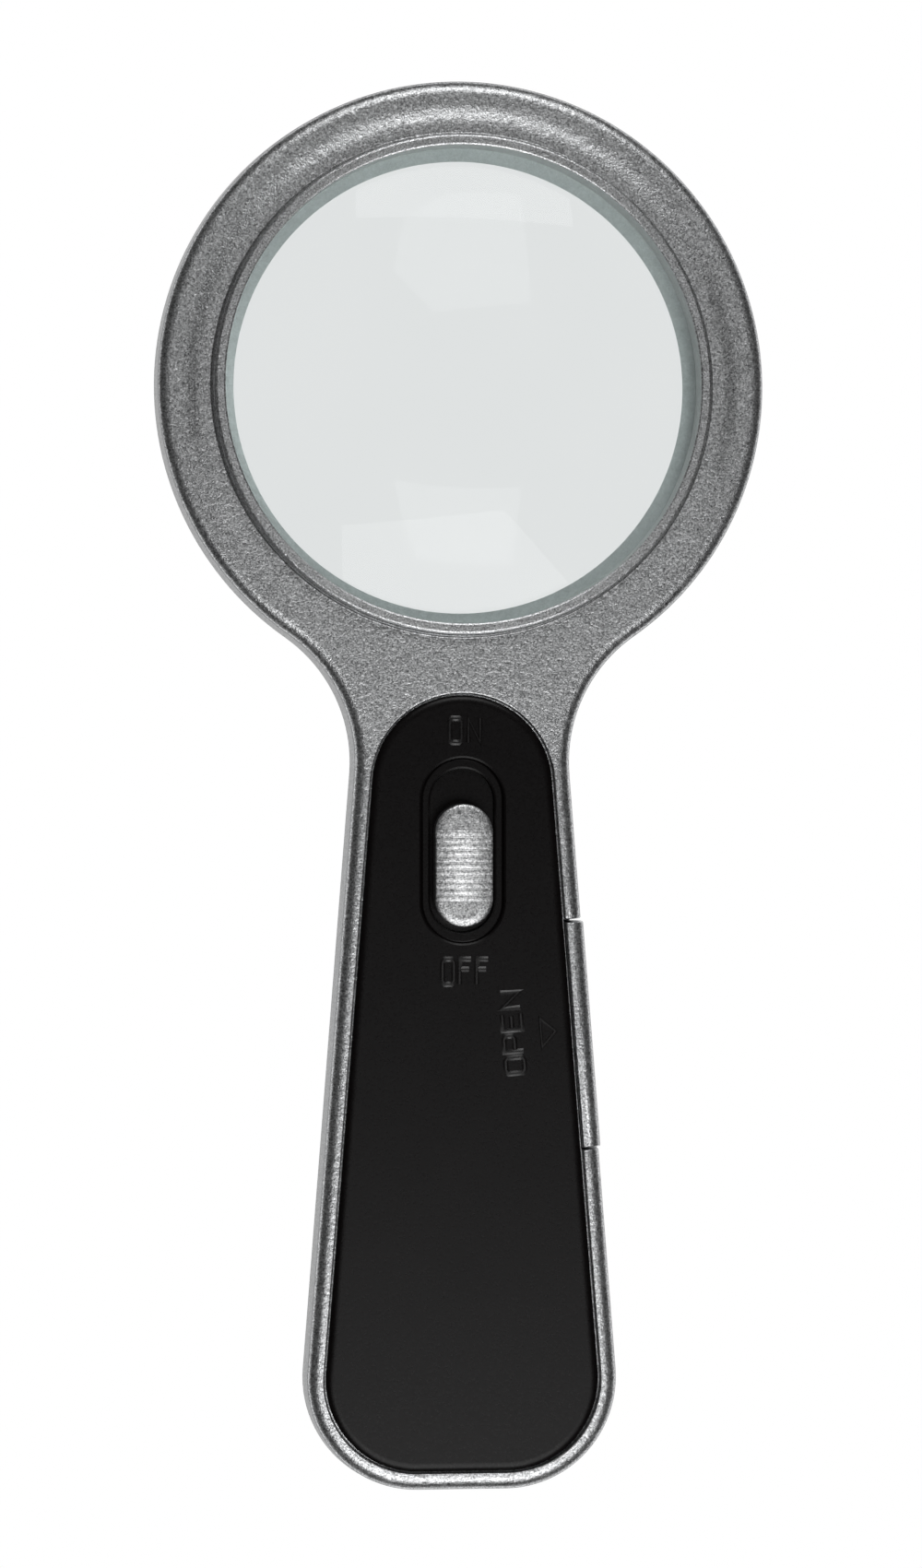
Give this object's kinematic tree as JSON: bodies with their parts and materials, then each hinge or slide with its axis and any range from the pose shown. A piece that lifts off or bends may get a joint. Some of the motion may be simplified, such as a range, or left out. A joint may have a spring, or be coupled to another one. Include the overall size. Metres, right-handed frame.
{
  "type": "illuminated hand magnifier",
  "caption": "Hand magnifier with a round lens in a silver housing, tapered handle with a black inlay and slide switch, built-in lamps, and a coin-cell drawer in its side.",
  "frame": {"origin": "middle of the outline, on the flat back that the magnifier rests on", "axes": "+Z out of the front face, +Y along the handle towards the head, +X towards the battery drawer's side"},
  "size_m": [0.0964, 0.222, 0.0162],
  "materials": {
    "housing_silver": "satin metallic silver paint with a fine grain",
    "button_silver": "satin silver plated plastic",
    "inlay_black": "black plastic with a fine moulded texture",
    "tray_black": "plain black moulded plastic",
    "lens_glass": "clear polished optical glass",
    "screw_steel": "zinc plated steel",
    "nickel": "nickel plated spring steel",
    "brass": "phosphor bronze spring",
    "phenolic": "brown phenolic laminate",
    "circuit_green": "green solder mask on glass laminate",
    "lamp_epoxy": "clear water-white epoxy",
    "resistor_tan": "lacquered resistor body",
    "cell_steel": "nickel plated cell can",
    "wire_red": "red insulation",
    "wire_black": "black insulation",
    "solder": "bright solder"
  },
  "bodies": {
    "housing": {"front_shell": "housing_silver", "rear_shell": "housing_silver", "handle_inlay": "inlay_black", "lens": "lens_glass", "head_screws": "screw_steel", "handle_screws": "screw_steel", "switch_frame": "nickel", "switch_base": "phenolic", "switch_terminals": "nickel", "switch_board": "circuit_green", "led_board": "circuit_green", "led_left": "lamp_epoxy", "led_centre": "lamp_epoxy", "led_right": "lamp_epoxy", "series_resistor": "resistor_tan", "positive_contact": "nickel", "negative_contact": "nickel", "positive_wire": "wire_red", "negative_wire": "wire_black", "led_wire": "wire_red", "solder_joints": "solder"},
    "switch": {"switch_button": "button_silver", "switch_slider": "tray_black", "switch_wiper": "brass"},
    "drawer": {"drawer_face": "housing_silver", "drawer_tray": "tray_black", "lower_cell": "cell_steel", "upper_cell": "cell_steel"}
  },
  "joints": [
    {"name": "switch_slide", "type": "slide", "parent": "housing", "child": "switch", "axis": [0, 1, 0], "range_m": [0, 0.0053]},
    {"name": "drawer_slide", "type": "slide", "parent": "housing", "child": "drawer", "axis": [0.9969, 0.0781, 0], "range_m": [0, 0.0232]}
  ]
}
